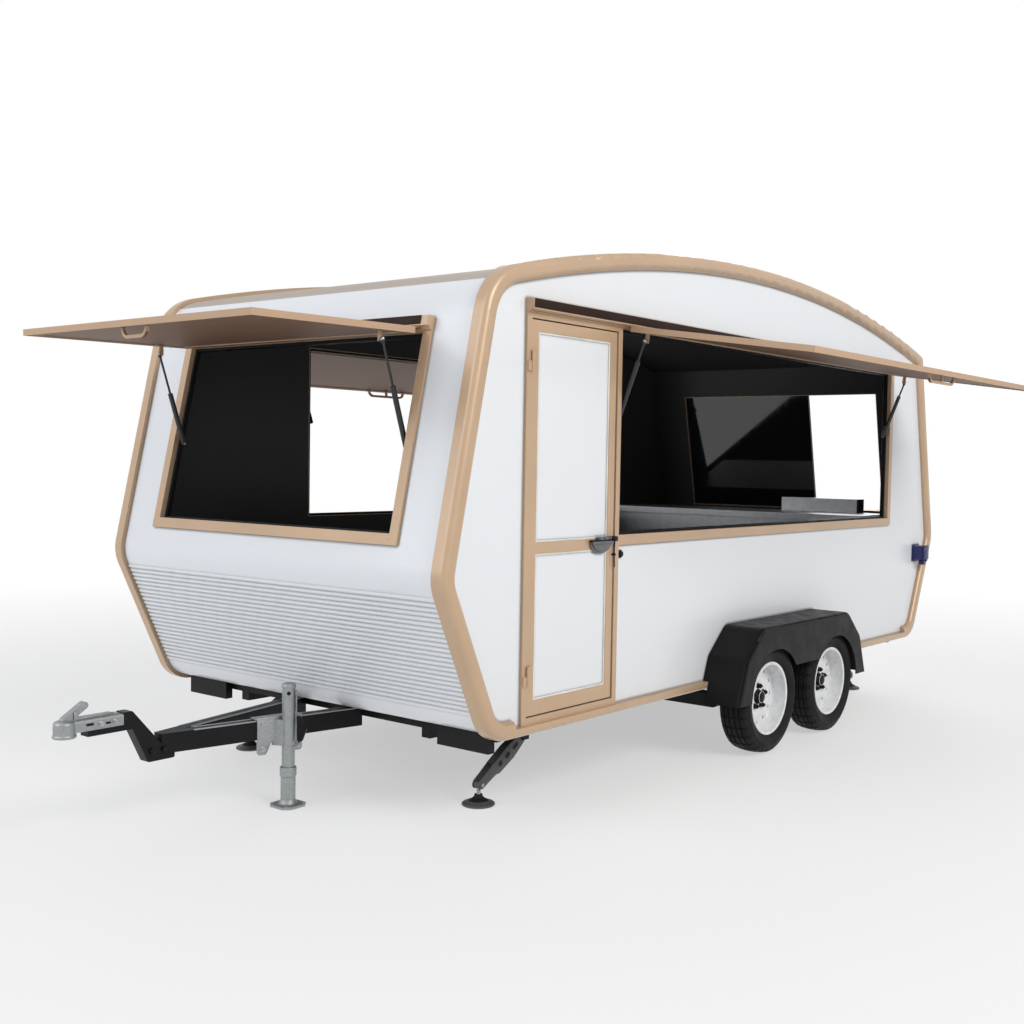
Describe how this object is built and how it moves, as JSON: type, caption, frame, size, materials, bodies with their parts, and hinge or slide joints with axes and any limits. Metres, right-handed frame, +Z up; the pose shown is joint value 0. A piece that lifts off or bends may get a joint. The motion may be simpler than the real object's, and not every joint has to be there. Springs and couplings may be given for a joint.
{
  "type": "food trailer",
  "caption": "Twin-axle food trailer with rounded bronze-edged body, ribbed ends, lift-up serving hatches on gas struts, side door, drawbar, jack and corner steadies.",
  "frame": {"origin": "on the ground under the middle of the overall length and width", "axes": "+X forward to the coupling, +Y to the door side, +Z up"},
  "size_m": [5.7128, 3.9528, 2.468],
  "materials": {
    "white_panel": "smooth gloss white sandwich panel",
    "bronze_trim": "champagne bronze painted aluminium",
    "roof_sheet": "taupe sheet",
    "black_plastic": "black moulded plastic",
    "black_steel": "black painted steel",
    "galvanised": "galvanised steel",
    "chrome": "polished chrome",
    "tyre_rubber": "black tyre rubber",
    "white_wheel": "white painted pressed steel",
    "tinted_glass": "tinted window pane",
    "blue_plastic": "navy blue plastic",
    "red_lens": "red lamp lens",
    "steel": "brushed stainless steel",
    "strut_black": "black strut tube"
  },
  "bodies": {
    "root": {"axle_front": "black_steel", "axle_rear": "black_steel", "chassis_rails": "black_steel", "corner_plates": "black_steel", "coupling_head": "galvanised", "coupling_lever": "black_plastic", "cross_members": "black_steel", "drawbar": "black_steel", "edge_trim_left": "bronze_trim", "edge_trim_right": "bronze_trim", "floor": "black_plastic", "front_lower": "white_panel", "front_upper": "white_panel", "hatch_frame_front": "bronze_trim", "hatch_frame_left": "bronze_trim", "hatch_frame_right": "bronze_trim", "jack_body": "galvanised", "mudguard_left": "black_plastic", "mudguard_right": "black_plastic", "power_inlet": "blue_plastic", "rear_lamps": "red_lens", "rear_lower": "white_panel", "rear_upper": "white_panel", "rear_window_frame": "bronze_trim", "rear_window_panes": "tinted_glass", "roof": "roof_sheet", "steady_brackets": "black_steel", "wall_left": "white_panel", "wall_right": "white_panel", "worktop": "steel"},
    "hatch_left": {"hatch_tray_left": "bronze_trim", "hatch_skin_left": "white_panel"},
    "strut_tubes_left": {"strut_tubes_left": "strut_black"},
    "strut_rods_left": {"strut_rods_left": "steel"},
    "hatch_right": {"hatch_tray_right": "bronze_trim", "hatch_skin_right": "white_panel"},
    "strut_tubes_right": {"strut_tubes_right": "strut_black"},
    "strut_rods_right": {"strut_rods_right": "steel"},
    "hatch_front": {"hatch_tray_front": "bronze_trim", "hatch_skin_front": "white_panel"},
    "strut_tubes_front": {"strut_tubes_front": "strut_black"},
    "strut_rods_front": {"strut_rods_front": "steel"},
    "door": {"door_frame": "bronze_trim", "door_panels": "white_panel", "door_lock": "chrome"},
    "wheel_front_left": {"tyre_front_left": "tyre_rubber", "wheel_front_left": "white_wheel"},
    "wheel_front_right": {"tyre_front_right": "tyre_rubber", "wheel_front_right": "white_wheel"},
    "wheel_rear_left": {"tyre_rear_left": "tyre_rubber", "wheel_rear_left": "white_wheel"},
    "wheel_rear_right": {"tyre_rear_right": "tyre_rubber", "wheel_rear_right": "white_wheel"},
    "jack_leg": {"jack_leg": "galvanised"},
    "steady_front_left": {"steady_front_left": "black_steel"},
    "steady_front_right": {"steady_front_right": "black_steel"},
    "steady_rear_left": {"steady_rear_left": "black_steel"},
    "steady_rear_right": {"steady_rear_right": "black_steel"}
  },
  "joints": [
    {"name": "hatch_left_swing", "type": "hinge", "parent": "root", "child": "hatch_left", "pos_m": [-0.661, 1.074, 2.058], "axis": [-1, 0, 0], "range_deg": [0, 82]},
    {"name": "strut_left_swing", "type": "hinge", "parent": "root", "child": "strut_tubes_left", "pos_m": [-0.661, 1.022, 1.65075], "axis": [1, 0, 0], "range_deg": [-1, 24]},
    {"name": "strut_left_slide", "type": "slide", "parent": "strut_tubes_left", "child": "strut_rods_left", "axis": [0, -0.3658, -0.9307], "range_m": [-0.002, 0.051]},
    {"name": "hatch_right_swing", "type": "hinge", "parent": "root", "child": "hatch_right", "pos_m": [-0.661, -1.074, 2.058], "axis": [1, 0, 0], "range_deg": [0, 82]},
    {"name": "strut_right_swing", "type": "hinge", "parent": "root", "child": "strut_tubes_right", "pos_m": [-0.661, -1.022, 1.65075], "axis": [-1, 0, 0], "range_deg": [-1, 24]},
    {"name": "strut_right_slide", "type": "slide", "parent": "strut_tubes_right", "child": "strut_rods_right", "axis": [0, 0.3658, -0.9307], "range_m": [-0.002, 0.051]},
    {"name": "hatch_front_swing", "type": "hinge", "parent": "root", "child": "hatch_front", "pos_m": [1.75466, 0, 1.97635], "axis": [0, 1, 0], "range_deg": [0, 77]},
    {"name": "strut_front_swing", "type": "hinge", "parent": "root", "child": "strut_tubes_front", "pos_m": [1.80179, 0, 1.51086], "axis": [0, -1, 0], "range_deg": [-1, 32]},
    {"name": "strut_front_slide", "type": "slide", "parent": "strut_tubes_front", "child": "strut_rods_front", "axis": [-0.3087, 0, -0.9512], "range_m": [-0.002, 0.147]},
    {"name": "door_swing", "type": "hinge", "parent": "root", "child": "door", "pos_m": [1.435, 1.064, 0.591], "axis": [0, 0, -1], "range_deg": [0, 110]},
    {"name": "wheel_front_left_spin", "type": "hinge", "parent": "root", "child": "wheel_front_left", "pos_m": [-0.306, 1.165, 0.279], "axis": [0, 1, 0], "continuous": true},
    {"name": "wheel_front_right_spin", "type": "hinge", "parent": "root", "child": "wheel_front_right", "pos_m": [-0.306, -1.165, 0.279], "axis": [0, 1, 0], "continuous": true},
    {"name": "wheel_rear_left_spin", "type": "hinge", "parent": "root", "child": "wheel_rear_left", "pos_m": [-0.994, 1.165, 0.279], "axis": [0, 1, 0], "continuous": true},
    {"name": "wheel_rear_right_spin", "type": "hinge", "parent": "root", "child": "wheel_rear_right", "pos_m": [-0.994, -1.165, 0.279], "axis": [0, 1, 0], "continuous": true},
    {"name": "jack_slide", "type": "slide", "parent": "root", "child": "jack_leg", "axis": [0, 0, 1], "range_m": [0, 0.085]},
    {"name": "steady_front_left_swing", "type": "hinge", "parent": "root", "child": "steady_front_left", "pos_m": [1.1, 0.76, 0.258], "axis": [0, -1, 0], "range_deg": [0, 40]},
    {"name": "steady_front_right_swing", "type": "hinge", "parent": "root", "child": "steady_front_right", "pos_m": [1.1, -0.76, 0.258], "axis": [0, -1, 0], "range_deg": [0, 40]},
    {"name": "steady_rear_left_swing", "type": "hinge", "parent": "root", "child": "steady_rear_left", "pos_m": [-2.006, 0.76, 0.258], "axis": [0, 1, 0], "range_deg": [0, 40]},
    {"name": "steady_rear_right_swing", "type": "hinge", "parent": "root", "child": "steady_rear_right", "pos_m": [-2.006, -0.76, 0.258], "axis": [0, 1, 0], "range_deg": [0, 40]}
  ],
  "couplings": [
    {"joint": "strut_left_swing", "follows": "hatch_left_swing", "ratio": 0.27045},
    {"joint": "strut_left_slide", "follows": "hatch_left_swing", "m_per_rad": 0.033017},
    {"joint": "strut_right_swing", "follows": "hatch_right_swing", "ratio": 0.27045},
    {"joint": "strut_right_slide", "follows": "hatch_right_swing", "m_per_rad": 0.033017},
    {"joint": "strut_front_swing", "follows": "hatch_front_swing", "ratio": 0.4019},
    {"joint": "strut_front_slide", "follows": "hatch_front_swing", "m_per_rad": 0.10622}
  ]
}
